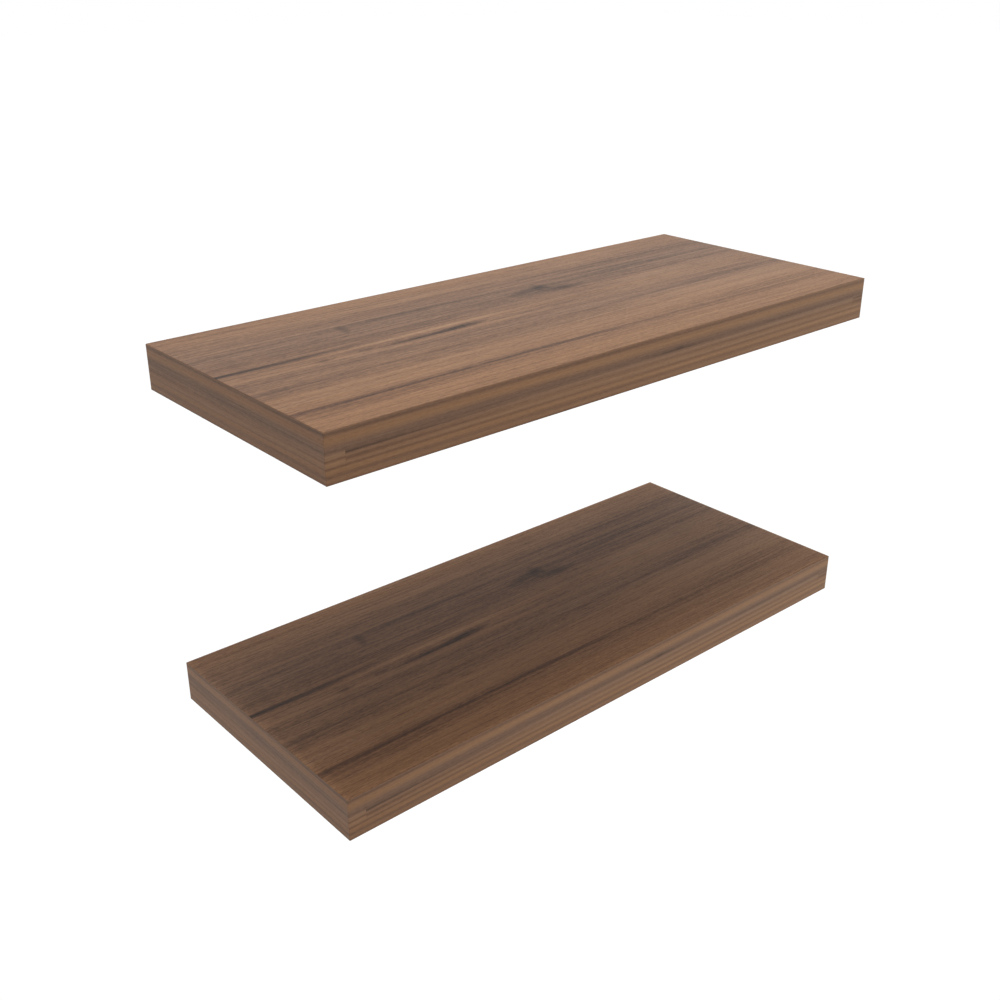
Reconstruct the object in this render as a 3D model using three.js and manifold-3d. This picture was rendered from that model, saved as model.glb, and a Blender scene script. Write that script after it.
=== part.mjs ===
// A set of two floating wall shelves. Each is a hollow-core board that slides onto the two rods of a
// steel bracket, which is screwed to the wall and disappears in the back of the board.
// Millimetres. +Z is up, +X runs along the boards, the wall is the plane y = 0 and the room lies on the
// -Y side. The origin is the middle of the back face of the lower bracket's bar, at half the lower
// board's thickness.

import * as THREE from "three";
import { mergeVertices } from "three/addons/utils/BufferGeometryUtils.js";
import Module from "manifold-3d";

// Board, over its outside
const boardLength = 600;
const boardDepth = 250;
const boardThickness = 38;
const arrisRadius = 0.5;
const shelfSpacing = 292; // from one top face to the next

// Board, inside
const skinThickness = 3;
const railThickness = 16;
const rodRailWidth = 60;
const cellWidth = 40; // nominal width of a honeycomb cell, before the core is stretched to fill its bay
const paperThickness = 0.6;
const coreClearance = 1; // from the middle of the core's outermost paper to the rails round its bay

// Bracket. Its bar fills the recess in the back of the board, less some room.
const barThickness = 3;
const barEndRoom = 33.8; // from each end of the bar to the end rail
const barEdgeRoom = 1.8; // above the bar, and below it
const barCornerRadius = 3;
const rodDiameter = 12;
const rodLength = 150; // from the bar's front face to the tip
const rodInset = 80; // from the bar's end to the middle of the rod
const rodTipChamfer = 1.5;
const rodTailDiameter = 8; // the stepped end that goes through the bar
const weldLeg = 2.5;

// Wall screws and wall plugs
const wallShankDiameter = 4;
const wallHeadDiameter = 8;
const wallHeadHeight = 2.8;
const wallScrewLength = 30; // under the head
const wallTipLength = 5;
const slotInset = 20; // from the bar's end to the middle of its slot
const slotTravel = 6; // how much longer the slot is than it is high
const middleScrewSpacing = 120;
const plugDiameter = 6;
const plugLength = 20;
const plugRecess = 3; // how deep the plug's mouth lies behind the wall's face
const plugSlitWidth = 0.8;
const plugSlitLength = 13;

// Lock screws, driven up from the underside until they meet the rods
const lockShankDiameter = 4;
const lockHeadDiameter = 7.6;
const lockRimHeight = 0.4;
const lockHeadSink = 0.3; // how deep the head lies in the underside
const lockScrewInset = 100; // from the wall

// Clearances
const seatGap = 0.2; // glue line, or the space left between two pieces that bear on each other
const foldGap = 0.05; // glue line where it shows: in the mitred folds, and at the front rail's two ends
const runningGap = 0.3; // all round a rod in its bore
const holeGap = 0.25; // all round a screw in its hole
const headClearance = 2; // between the wall screws' heads and the back rail
const boreEndClearance = 8; // past the rod's tip
const boreChamfer = 1.5; // lead-in at the back rail's bores
const overrun = 5; // how far a cutting shape runs past the face that it cuts

// Facets
const roundSides = 24;
const screwSides = 12;
const arrisSteps = 4;
const cornerSteps = 4;

const wasm = await Module();
wasm.setup();

const X = new THREE.Vector3(1, 0, 0);
const Y = new THREE.Vector3(0, 1, 0);
const Z = new THREE.Vector3(0, 0, 1);

// Where an outline is drawn, and which way it is then pulled: in (y, z) along +X, in (x, z) along -Y,
// in (x, y) along +Z
const DRAWN_FOR = {
  x: new THREE.Matrix4().makeBasis(Y, Z, X),
  y: new THREE.Matrix4().makeBasis(X, Z, Y.clone().negate()),
  z: new THREE.Matrix4().makeBasis(X, Y, Z),
};

// A prism of the given shape, lying between two places on the given axis. Only the screws' holes are
// drawn as curves.
function prism(shape, axis, from, to) {
  const geometry = new THREE.ExtrudeGeometry(shape, {
    depth: to - from,
    bevelEnabled: false,
    curveSegments: screwSides / 2,
  });
  geometry.translate(0, 0, axis === "y" ? -to : from);
  return geometry.applyMatrix4(DRAWN_FOR[axis]);
}

function shapeOf(points) {
  return new THREE.Shape(points.map(([u, v]) => new THREE.Vector2(u, v)));
}

// A rectangle with a round at each of the corners named in rounds: "ll", "lr", "ur" and "ul", for lower
// or upper, left or right.
function roundedRectangle(left, low, right, high, radius, rounds, steps) {
  const corners = {
    ll: [left, low, 1, 1, Math.PI],
    lr: [right, low, -1, 1, 1.5 * Math.PI],
    ur: [right, high, -1, -1, 0],
    ul: [left, high, 1, -1, 0.5 * Math.PI],
  };
  const points = [];
  for (const [name, [u, v, inU, inV, start]] of Object.entries(corners)) {
    if (!rounds.includes(name)) {
      points.push([u, v]);
      continue;
    }
    for (let step = 0; step <= steps; step += 1) {
      const turn = start + (step / steps) * 0.5 * Math.PI;
      points.push([
        u + radius * (inU + Math.cos(turn)),
        v + radius * (inV + Math.sin(turn)),
      ]);
    }
  }
  return shapeOf(points);
}

function rectangle(left, low, right, high) {
  return roundedRectangle(left, low, right, high, 0, "", 0);
}

// A geometry's solid, for joining and cutting.
function solidOf(geometry) {
  const bare = new THREE.BufferGeometry();
  bare.setAttribute("position", geometry.getAttribute("position"));
  bare.setIndex(geometry.index);
  const merged = mergeVertices(bare);
  return new wasm.Manifold(
    new wasm.Mesh({
      numProp: 3,
      vertProperties: merged.getAttribute("position").array,
      triVerts: new Uint32Array(merged.index.array),
    }),
  );
}

// The geometry of a joined or cut solid, with flat faces.
function geometryOf(solid) {
  const mesh = solid.getMesh();
  const geometry = new THREE.BufferGeometry();
  geometry.setAttribute("position", new THREE.BufferAttribute(mesh.vertProperties, 3));
  geometry.setIndex(new THREE.BufferAttribute(mesh.triVerts, 1));
  const flat = geometry.toNonIndexed();
  flat.computeVertexNormals();
  return flat;
}

// A turned piece about the Y axis. The profile's points are [radius, y], from one end on the axis to the
// other.
function turned(profile, sides) {
  return new THREE.LatheGeometry(
    profile.map(([r, y]) => new THREE.Vector2(r, y)),
    sides,
  );
}

// A straight round hole along Y, to cut with.
function boreCutter(radius, from, to, x, sides) {
  return solidOf(
    new THREE.CylinderGeometry(radius, radius, to - from, sides).translate(x, (from + to) / 2, 0),
  );
}

// Places that several pieces share
const halfLength = boardLength / 2;
const halfThickness = boardThickness / 2;
const mitreShift = (foldGap / 2) * Math.SQRT2; // from each mitred face to the arris' own 45-degree plane
const innerHalfHeight = halfThickness - skinThickness - seatGap; // of all that stands between the skins
const innerHalfLength = halfLength - railThickness - seatGap; // of all that lies between the end rails
const backRecess = barThickness + seatGap + wallHeadHeight + headClearance; // from the wall to the back rail
const bayBack = -(backRecess + railThickness + seatGap); // the bays between the front rail and the back rail
const bayFront = -(boardDepth - railThickness - seatGap);
const rodTip = -(barThickness + rodLength);
const rodRadius = rodDiameter / 2;
const boreRadius = rodRadius + runningGap;
const barHalfLength = innerHalfLength - barEndRoom;
const barHalfHeight = innerHalfHeight - barEdgeRoom;
const rodPlaces = { left: rodInset - barHalfLength, right: barHalfLength - rodInset };

// The whole board's outside: a block whose arrises are rounded, except at the wall. It is where the
// outlines of three views meet: from the front, from the side and from above.
function boardEnvelope() {
  const view = (left, low, right, high, rounds) =>
    roundedRectangle(left, low, right, high, arrisRadius, rounds, arrisSteps);
  const fromTheFront = prism(
    view(-halfLength, -halfThickness, halfLength, halfThickness, "ll lr ur ul"),
    "y",
    -boardDepth - overrun,
    overrun,
  );
  const fromTheSide = prism(
    view(-boardDepth, -halfThickness, 0, halfThickness, "ll ul"),
    "x",
    -halfLength - overrun,
    halfLength + overrun,
  );
  const fromAbove = prism(
    view(-halfLength, -boardDepth, halfLength, 0, "ll lr"),
    "z",
    -halfThickness - overrun,
    halfThickness + overrun,
  );
  return solidOf(fromTheFront).intersect(solidOf(fromTheSide)).intersect(solidOf(fromAbove));
}

const envelope = boardEnvelope();

// Lock screw, about Y with its head's face at y = 0. The hole is the same profile, grown by a gap and
// run past both ends.
const lockScrewLength = halfThickness - lockHeadSink - rodRadius - runningGap;

function lockScrewProfile(gap = 0, past = 0) {
  const headRadius = lockHeadDiameter / 2;
  const shankRadius = lockShankDiameter / 2;
  const coneEnd = lockRimHeight + headRadius - shankRadius;
  return [
    [0, -past],
    [headRadius + gap, -past],
    [headRadius + gap, lockRimHeight],
    [shankRadius + gap, coneEnd],
    [shankRadius + gap, lockScrewLength + past],
    [0, lockScrewLength + past],
  ];
}

function lockScrewGeometry() {
  return turned(lockScrewProfile(), screwSides).rotateX(Math.PI / 2);
}

function lockScrewHole(x) {
  const hole = turned(lockScrewProfile(holeGap, overrun), screwSides).rotateX(Math.PI / 2);
  return solidOf(hole.translate(x, -lockScrewInset, -halfThickness + lockHeadSink));
}

// The slab just under the board's top face, or over its underside, that reaches as deep as depth. Its
// front and side edges slope out at 45 degrees to the arrises, and shift moves them inwards; its back
// edge is square.
function mitredSlab(up, depth, shift) {
  const inner = halfThickness - depth;
  const outer = halfThickness + overrun;
  const innerInset = depth + shift;
  const outerInset = shift - overrun;
  const fromTheFront = shapeOf([
    [-halfLength + innerInset, up * inner],
    [halfLength - innerInset, up * inner],
    [halfLength - outerInset, up * outer],
    [-halfLength + outerInset, up * outer],
  ]);
  const fromTheSide = shapeOf([
    [-boardDepth + innerInset, up * inner],
    [overrun, up * inner],
    [overrun, up * outer],
    [-boardDepth + outerInset, up * outer],
  ]);
  return solidOf(prism(fromTheFront, "y", -boardDepth - overrun, overrun)).intersect(
    solidOf(prism(fromTheSide, "x", -halfLength - overrun, halfLength + overrun)),
  );
}

// Top or bottom skin, faced out to the arrises. The bottom skin is countersunk for the lock screws.
function skinGeometry(up) {
  let skin = envelope.intersect(mitredSlab(up, skinThickness, mitreShift));
  if (up < 0) {
    for (const x of Object.values(rodPlaces)) skin = skin.subtract(lockScrewHole(x));
  }
  return geometryOf(skin);
}

// A faced rail: what lies between the given places, as high as the board at its face and mitred behind
// the skins' edges.
function facedRailGeometry(left, right, front, back) {
  const seatDepth = skinThickness + seatGap;
  const plan = rectangle(left, front, right, back);
  const blank = prism(plan, "z", -halfThickness - overrun, halfThickness + overrun);
  return geometryOf(
    envelope
      .intersect(solidOf(blank))
      .subtract(mitredSlab(1, seatDepth, -mitreShift))
      .subtract(mitredSlab(-1, seatDepth, -mitreShift)),
  );
}

// The front rail is butted between the end rails, which run the board's full depth.
function frontRailGeometry() {
  const frontHalfLength = halfLength - railThickness - foldGap;
  return facedRailGeometry(
    -frontHalfLength,
    frontHalfLength,
    -boardDepth - overrun,
    -boardDepth + railThickness,
  );
}

function endRailGeometry(side) {
  const outer = side * (halfLength + overrun);
  const inner = side * (halfLength - railThickness);
  return facedRailGeometry(
    Math.min(outer, inner),
    Math.max(outer, inner),
    -boardDepth - overrun,
    overrun,
  );
}

// Back rail, set in from the wall for the bar and the screw heads, bored for the rods with a lead-in.
function backRailGeometry() {
  const back = -backRecess;
  const front = back - railThickness;
  const section = rectangle(-innerHalfLength, -innerHalfHeight, innerHalfLength, innerHalfHeight);
  let rail = solidOf(prism(section, "y", front, back));
  for (const x of Object.values(rodPlaces)) {
    const leadIn = turned(
      [
        [0, back - boreChamfer - boreRadius],
        [boreRadius + boreChamfer + overrun, back + overrun],
        [0, back + overrun],
      ],
      roundSides,
    ).translate(x, 0, 0);
    rail = rail
      .subtract(boreCutter(boreRadius, front - overrun, back + overrun, x, roundSides))
      .subtract(solidOf(leadIn));
  }
  return geometryOf(rail);
}

// Rod rail, a cross rail between the back rail and the front rail, with a blind bore for the rod and a
// small hole up to it for the lock screw. Its middle is at x = 0.
function rodRailGeometry() {
  const section = rectangle(-rodRailWidth / 2, -innerHalfHeight, rodRailWidth / 2, innerHalfHeight);
  const rail = solidOf(prism(section, "y", bayFront, bayBack))
    .subtract(boreCutter(boreRadius, rodTip - boreEndClearance, bayBack + overrun, 0, roundSides))
    .subtract(lockScrewHole(0));
  return geometryOf(rail);
}

// Honeycomb core of one bay: paper strips glued to each other at every second stretch and pulled open
// until they fill the bay. Each cell is a six-sided ring whose two walls along Y are doubled, because two
// strips are glued there. Every other row has one cell less, so it takes two columns for the rows to hold
// together.
function coreGeometry(left, right) {
  const width = right - left - 2 * coreClearance;
  const depth = bayBack - bayFront - 2 * coreClearance;
  const columns = Math.max(2, Math.round(width / cellWidth));
  const rows = Math.max(1, Math.round((2 * depth) / (Math.sqrt(3) * cellWidth)));
  const columnPitch = width / columns;
  const rowPitch = depth / (rows + 1 / 3);
  const half = columnPitch / 2;
  const peak = (2 / 3) * rowPitch;
  const slant = Math.hypot(half, peak / 2);

  // One cell's outline, in or out from the middle of its walls by the given share of the paper.
  const cellOutline = (x, y, out) => {
    const shoulder = half + out * paperThickness;
    const top = peak + (out * paperThickness * slant) / (2 * half);
    const rise = top - (peak / 2) * (shoulder / half);
    return shapeOf([
      [x, y + top],
      [x - shoulder, y + rise],
      [x - shoulder, y - rise],
      [x, y - top],
      [x + shoulder, y - rise],
      [x + shoulder, y + rise],
    ]);
  };

  const places = [];
  for (let row = 0; row < rows; row += 1) {
    const inset = row % 2 ? columnPitch : half;
    const count = row % 2 ? columns - 1 : columns;
    for (let column = 0; column < count; column += 1) {
      places.push([
        left + coreClearance + inset + column * columnPitch,
        bayFront + coreClearance + peak + row * rowPitch,
      ]);
    }
  }
  const cells = (out, past) =>
    places
      .map(([x, y]) =>
        solidOf(prism(cellOutline(x, y, out), "z", -innerHalfHeight - past, innerHalfHeight + past)),
      )
      .reduce((all, cell) => all.add(cell));
  return geometryOf(cells(1, 0).subtract(cells(-1, overrun)));
}

// Bracket bar: flat steel with rounded corners. The wall screws go through a slot near each end and two
// round holes nearer the middle, and the rods' tails through two more.
const slotPlace = barHalfLength - slotInset;
const wallScrewPlaces = [-slotPlace, -middleScrewSpacing / 2, middleScrewSpacing / 2, slotPlace];

function barGeometry() {
  const bar = roundedRectangle(
    -barHalfLength,
    -barHalfHeight,
    barHalfLength,
    barHalfHeight,
    barCornerRadius,
    "ll lr ur ul",
    cornerSteps,
  );
  const screwHoleRadius = wallShankDiameter / 2 + holeGap;
  const roundHole = (x, radius) => new THREE.Path().absarc(x, 0, radius, 0, 2 * Math.PI, true);
  for (const x of [-slotPlace, slotPlace]) {
    const end = slotTravel / 2;
    const slot = new THREE.Path();
    slot.absarc(x - end, 0, screwHoleRadius, 1.5 * Math.PI, 0.5 * Math.PI, true);
    slot.absarc(x + end, 0, screwHoleRadius, 0.5 * Math.PI, -0.5 * Math.PI, true);
    bar.holes.push(slot);
  }
  for (const x of [-middleScrewSpacing / 2, middleScrewSpacing / 2]) {
    bar.holes.push(roundHole(x, screwHoleRadius));
  }
  for (const x of Object.values(rodPlaces)) {
    bar.holes.push(roundHole(x, rodTailDiameter / 2 + seatGap));
  }
  return prism(bar, "y", -barThickness, 0);
}

// Rod: turned steel. Its tail goes through the bar, the weld's fillet stands round it on the bar's front
// face, and its tip is chamfered so that the board finds it.
function rodGeometry() {
  const seat = -(barThickness + seatGap);
  const tailRadius = rodTailDiameter / 2;
  return turned(
    [
      [0, rodTip],
      [rodRadius - rodTipChamfer, rodTip],
      [rodRadius, rodTip + rodTipChamfer],
      [rodRadius, seat - weldLeg],
      [rodRadius + weldLeg, seat],
      [tailRadius, seat],
      [tailRadius, -seatGap],
      [0, -seatGap],
    ],
    roundSides,
  );
}

// Wall screw: pan head towards the room, its underside at y = 0, its point in the wall.
function wallScrewGeometry() {
  const headRadius = wallHeadDiameter / 2;
  const shankRadius = wallShankDiameter / 2;
  const crownShare = 0.6;
  const shoulderShare = 0.5;
  return turned(
    [
      [0, -wallHeadHeight],
      [crownShare * headRadius, -wallHeadHeight],
      [headRadius, -shoulderShare * wallHeadHeight],
      [headRadius, 0],
      [shankRadius, 0],
      [shankRadius, wallScrewLength - wallTipLength],
      [0, wallScrewLength],
    ],
    screwSides,
  );
}

// Wall plug: a nylon tube, its mouth at y = 0, slit crosswise from its far end so that the screw spreads it.
function wallPlugGeometry() {
  const outer = plugDiameter / 2;
  const inner = wallShankDiameter / 2 + holeGap;
  const tube = turned(
    [
      [inner, 0],
      [outer, 0],
      [outer, plugLength],
      [inner, plugLength],
      [inner, 0],
    ],
    screwSides,
  );
  const slitCutter = (width, height) =>
    solidOf(
      new THREE.BoxGeometry(width, plugSlitLength + overrun, height).translate(
        0,
        plugLength + overrun - (plugSlitLength + overrun) / 2,
        0,
      ),
    );
  const across = plugDiameter + overrun;
  return geometryOf(
    solidOf(tube).subtract(slitCutter(across, plugSlitWidth)).subtract(slitCutter(plugSlitWidth, across)),
  );
}

// Finishes
const walnutDecor = { color: 0x94785f, roughness: 0.55, metalness: 0 };
const particleBoard = { color: 0xbc9a6c, roughness: 0.9, metalness: 0 };
const kraftPaper = { color: 0xae8a5c, roughness: 0.95, metalness: 0 };
const blackSteel = { color: 0x26272a, roughness: 0.5, metalness: 0.6 };
const zincSteel = { color: 0xb4b8bc, roughness: 0.35, metalness: 1 };
const greyNylon = { color: 0x8d9094, roughness: 0.6, metalness: 0 };

function piece(name, geometry, finish, x = 0, y = 0, z = 0) {
  const mesh = new THREE.Mesh(geometry, new THREE.MeshStandardMaterial(finish));
  mesh.name = name;
  mesh.position.set(x, y, z);
  return mesh;
}

// One geometry of each kind, shared by both shelves
const rodRail = rodRailGeometry();
const bayEdge = rodRailWidth / 2 + seatGap;
const shapes = {
  topSkin: skinGeometry(1),
  bottomSkin: skinGeometry(-1),
  frontRail: frontRailGeometry(),
  leftEndRail: endRailGeometry(-1),
  rightEndRail: endRailGeometry(1),
  backRail: backRailGeometry(),
  leftCore: coreGeometry(-innerHalfLength, rodPlaces.left - bayEdge),
  middleCore: coreGeometry(rodPlaces.left + bayEdge, rodPlaces.right - bayEdge),
  rightCore: coreGeometry(rodPlaces.right + bayEdge, innerHalfLength),
  bar: barGeometry(),
  rod: rodGeometry(),
  wallScrew: wallScrewGeometry(),
  wallPlug: wallPlugGeometry(),
  lockScrew: lockScrewGeometry(),
};

// The board, which slides off the rods towards the room.
function boardGroup(shelf) {
  const group = new THREE.Group();
  group.add(
    piece(`${shelf}_top_skin`, shapes.topSkin, walnutDecor),
    piece(`${shelf}_bottom_skin`, shapes.bottomSkin, walnutDecor),
    piece(`${shelf}_front_rail`, shapes.frontRail, walnutDecor),
    piece(`${shelf}_left_end_rail`, shapes.leftEndRail, walnutDecor),
    piece(`${shelf}_right_end_rail`, shapes.rightEndRail, walnutDecor),
    piece(`${shelf}_back_rail`, shapes.backRail, particleBoard),
    piece(`${shelf}_left_core`, shapes.leftCore, kraftPaper),
    piece(`${shelf}_middle_core`, shapes.middleCore, kraftPaper),
    piece(`${shelf}_right_core`, shapes.rightCore, kraftPaper),
  );
  for (const [side, x] of Object.entries(rodPlaces)) {
    group.add(
      piece(`${shelf}_${side}_rod_rail`, rodRail, particleBoard, x),
      piece(
        `${shelf}_${side}_lock_screw`,
        shapes.lockScrew,
        zincSteel,
        x,
        -lockScrewInset,
        -halfThickness + lockHeadSink,
      ),
    );
  }
  return group;
}

// The bracket, which stays on the wall.
function bracketGroup(shelf) {
  const group = new THREE.Group();
  group.add(piece(`${shelf}_bracket_bar`, shapes.bar, blackSteel));
  for (const [side, x] of Object.entries(rodPlaces)) {
    group.add(piece(`${shelf}_${side}_rod`, shapes.rod, blackSteel, x));
  }
  wallScrewPlaces.forEach((x, index) => {
    const number = index + 1;
    group.add(
      piece(`${shelf}_wall_screw_${number}`, shapes.wallScrew, zincSteel, x, -barThickness - seatGap),
      piece(`${shelf}_wall_plug_${number}`, shapes.wallPlug, greyNylon, x, plugRecess),
    );
  });
  return group;
}

function shelfGroup(shelf, height) {
  const group = new THREE.Group();
  group.add(boardGroup(shelf), bracketGroup(shelf));
  group.position.set(0, 0, height);
  return group;
}

const floatingShelves = new THREE.Group();
floatingShelves.add(shelfGroup("lower", 0), shelfGroup("upper", shelfSpacing));

export default floatingShelves;
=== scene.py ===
import bmesh
import bpy
import numpy as np
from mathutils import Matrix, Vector


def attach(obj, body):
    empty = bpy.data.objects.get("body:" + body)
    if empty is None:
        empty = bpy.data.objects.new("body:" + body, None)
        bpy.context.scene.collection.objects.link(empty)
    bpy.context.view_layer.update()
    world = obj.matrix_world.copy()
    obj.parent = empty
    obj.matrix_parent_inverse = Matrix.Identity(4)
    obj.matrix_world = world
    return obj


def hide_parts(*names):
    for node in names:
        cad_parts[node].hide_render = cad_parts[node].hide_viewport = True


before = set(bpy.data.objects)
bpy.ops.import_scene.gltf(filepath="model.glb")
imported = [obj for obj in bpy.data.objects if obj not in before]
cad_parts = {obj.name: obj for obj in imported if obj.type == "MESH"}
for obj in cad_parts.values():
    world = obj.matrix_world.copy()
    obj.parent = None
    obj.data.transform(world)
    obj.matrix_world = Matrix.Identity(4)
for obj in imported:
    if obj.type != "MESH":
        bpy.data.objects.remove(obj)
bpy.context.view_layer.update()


# The camera. It stands in front of the boards' left ends, a little above the upper board, and looks
# along them with a lens a little shorter than a portrait one. Its place comes from the boards' corners.

camera_place = (-0.68370, -0.86541, 0.59422)
camera_sight = (0.594584, 0.686401, -0.418717)
lens_length = 43.4109
film_width = 36.0

camera_data = bpy.data.cameras.new("camera")
camera_data.sensor_width = film_width
camera_data.lens = lens_length
camera_data.clip_start = 0.02
camera_data.clip_end = 100.0
camera = bpy.data.objects.new("camera", camera_data)
camera.location = camera_place
camera.rotation_mode = "QUATERNION"
camera.rotation_quaternion = Vector(camera_sight).to_track_quat("-Z", "Y")
bpy.context.scene.collection.objects.link(camera)
bpy.context.scene.camera = camera
bpy.context.scene.view_settings.view_transform = "Standard"


# The studio: a pale floor a room's height below the boards, white surroundings that fill the shade,
# a clear overhead lamp in a soft one, a wider one behind them, and a wide fill from the front right.

floor_height = -1.4
floor_half_width = 30.0
floor_reflectance = 0.8
white_lift = 0.3  # what a look at the floor gains, so that it is white where the lamps reach it
dome_level = 0.30
# Each lamp: the way to it, its strength, and how wide it looks in degrees.
lamps = {
    "overhead_lamp": ((0.0, 0.0, 1.0), 1.03, 3.0),
    "soft_lamp": ((0.0, 0.0, 1.0), 0.49, 36.0),
    "rear_lamp": ((0.141, 0.364, 1.0), 0.26, 56.0),
    "front_lamp": ((0.41, -0.71, 0.57), 0.33, 60.0),
}


def add(tree, kind, label, settings=None, inputs=None):
    """Adds one node, sets its own settings and colour stops, and sets or links its inputs."""
    made = tree.nodes.new(kind)
    made.name = made.label = label
    for key, value in (settings or {}).items():
        if key == "stops":
            ramp = made.color_ramp
            while len(ramp.elements) < len(value):
                ramp.elements.new(0.5)
            for element, (place, colour) in zip(ramp.elements, value):
                element.position = place
                element.color = colour
        else:
            setattr(made, key, value)
    for key, value in (inputs or {}).items():
        if isinstance(value, bpy.types.NodeSocket):
            tree.links.new(value, made.inputs[key])
        else:
            made.inputs[key].default_value = value
    return made.outputs


def new_material(name):
    """An empty material and its node tree."""
    made = bpy.data.materials.new(name)
    made.use_nodes = True
    made.node_tree.nodes.clear()
    return made, made.node_tree


def seen_directly(tree):
    """One where a ray comes from the camera, a mirror or a clear piece, and nought elsewhere."""
    path = add(tree, "ShaderNodeLightPath", "kind of ray")
    either = add(tree, "ShaderNodeMath", "camera or gloss", {"operation": "MAXIMUM"},
                 {0: path["Is Camera Ray"], 1: path["Is Glossy Ray"]})[0]
    return add(tree, "ShaderNodeMath", "or clear", {"operation": "MAXIMUM"},
               {0: either, 1: path["Is Transmission Ray"]})[0]


world = bpy.data.worlds.new("white studio")
world.use_nodes = True
world.node_tree.nodes.clear()
level = add(world.node_tree, "ShaderNodeMath", "white where seen, dome elsewhere",
            {"operation": "MULTIPLY_ADD"},
            {0: seen_directly(world.node_tree), 1: 1.0 - dome_level, 2: dome_level})[0]
surroundings = add(world.node_tree, "ShaderNodeBackground", "surroundings", {},
                   {"Color": (1, 1, 1, 1), "Strength": level})[0]
add(world.node_tree, "ShaderNodeOutputWorld", "out", {}, {"Surface": surroundings})
bpy.context.scene.world = world

floor_paint, tree = new_material("pale floor paint")
matt = add(tree, "ShaderNodeBsdfDiffuse", "matt paint", {},
           {"Color": (floor_reflectance, floor_reflectance, floor_reflectance, 1)})[0]
lift = add(tree, "ShaderNodeMath", "lift where seen", {"operation": "MULTIPLY"},
           {0: seen_directly(tree), 1: white_lift})[0]
glow = add(tree, "ShaderNodeEmission", "white lift", {}, {"Color": (1, 1, 1, 1), "Strength": lift})[0]
both = add(tree, "ShaderNodeAddShader", "paint and lift", {}, {0: matt, 1: glow})[0]
add(tree, "ShaderNodeOutputMaterial", "out", {}, {"Surface": both})

floor_mesh = bpy.data.meshes.new("floor")
floor_mesh.from_pydata(
    [(x * floor_half_width, y * floor_half_width, floor_height)
     for x, y in ((-1, -1), (1, -1), (1, 1), (-1, 1))], [], [(0, 1, 2, 3)])
floor_mesh.materials.append(floor_paint)
floor = bpy.data.objects.new("floor", floor_mesh)
bpy.context.scene.collection.objects.link(floor)

for lamp_name, (towards, strength, width) in lamps.items():
    lamp_data = bpy.data.lights.new(lamp_name, "SUN")
    lamp_data.energy = strength
    lamp_data.angle = np.radians(width)
    lamp = bpy.data.objects.new(lamp_name, lamp_data)
    lamp.rotation_mode = "QUATERNION"
    lamp.rotation_quaternion = Vector(towards).to_track_quat("Z", "Y")
    bpy.context.scene.collection.objects.link(lamp)


# The top and bottom skins. Each is a 3 mm sheet of hard fibreboard with a printed walnut foil pressed
# on its outer face. The sheet is grooved from behind and folded at 45 degrees over the rails, so the
# foil runs on round the edge, and only the back edge shows the bare brown board.

half_length = 300.0
depth = 250.0
half_thickness = 19.0
level_step = 292.0  # from one board to the next
shelf_heights = {"lower": 0.0, "upper": level_step}
foil_thickness = 0.35
fold_radius = 0.5
# The band of the painted shade at the fold, from where it begins to where it is full:
fold_shade_from = -0.15  # counted outwards from where the fold begins
fold_shade_to = 0.25


def linear(code):
    """The linear colour of an sRGB hex code."""
    shown = np.array([int(code[i:i + 2], 16) for i in (1, 3, 5)]) / 255
    light = np.where(shown <= 0.04045, shown / 12.92, ((shown + 0.055) / 1.055) ** 2.4)
    return (*(float(x) for x in light), 1.0)


def board_place(tree):
    """Length, depth and height in millimetres, the height counted from the middle of its own board."""
    place = add(tree, "ShaderNodeTexCoord", "place on the part")["Object"]
    scaled = add(tree, "ShaderNodeVectorMath", "in millimetres", {"operation": "SCALE"},
                 {0: place, "Scale": 1000.0})[0]
    x, y, z = add(tree, "ShaderNodeSeparateXYZ", "length depth height", {}, {0: scaled})
    z = add(tree, "ShaderNodeMath", "height in its own board", {"operation": "WRAP"},
            {0: z, 1: level_step / 2, 2: -level_step / 2})[0]
    return x, y, z


def board_point(tree):
    """The same place as one point."""
    x, y, z = board_place(tree)
    return add(tree, "ShaderNodeCombineXYZ", "point in its board", {}, {0: x, 1: y, 2: z})[0]


def outer_foil(tree, x, y, z):
    """Where the foil lies, from how far a point is outside the bare case, where it is folded over an
    arris, from the smaller of the two distances there, and where it covers an end of the board."""
    over = []
    for label, value, limit in (("end", x, half_length), ("front", y, depth), ("face", z, half_thickness)):
        size = add(tree, "ShaderNodeMath", label + " distance", {"operation": "ABSOLUTE"}, {0: value})[0]
        over.append(add(tree, "ShaderNodeMath", "past the " + label, {"operation": "SUBTRACT"},
                        {0: size, 1: limit})[0])
    furthest = over[0]
    for value in over[1:]:
        furthest = add(tree, "ShaderNodeMath", "furthest out", {"operation": "MAXIMUM"},
                       {0: furthest, 1: value})[0]
    foil = add(tree, "ShaderNodeMath", "foil", {"operation": "GREATER_THAN"},
               {0: furthest, 1: -foil_thickness})[0]
    end_face = add(tree, "ShaderNodeMath", "end face", {"operation": "GREATER_THAN"},
                   {0: over[0], 1: -fold_radius * (1 - np.sqrt(0.5))})[0]
    end_arris, front_arris = (
        add(tree, "ShaderNodeMath", "near both faces", {"operation": "MINIMUM"}, {0: side, 1: over[2]})[0]
        for side in over[:2])
    nearest = add(tree, "ShaderNodeMath", "nearest arris", {"operation": "MAXIMUM"},
                  {0: front_arris, 1: end_arris})[0]
    fold = add(tree, "ShaderNodeMapRange", "folded foil", {},
               {"Value": nearest, "From Min": fold_shade_from - fold_radius,
                "From Max": fold_shade_to - fold_radius, "To Min": 0.0, "To Max": 1.0})[0]
    return foil, fold, end_face


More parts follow.
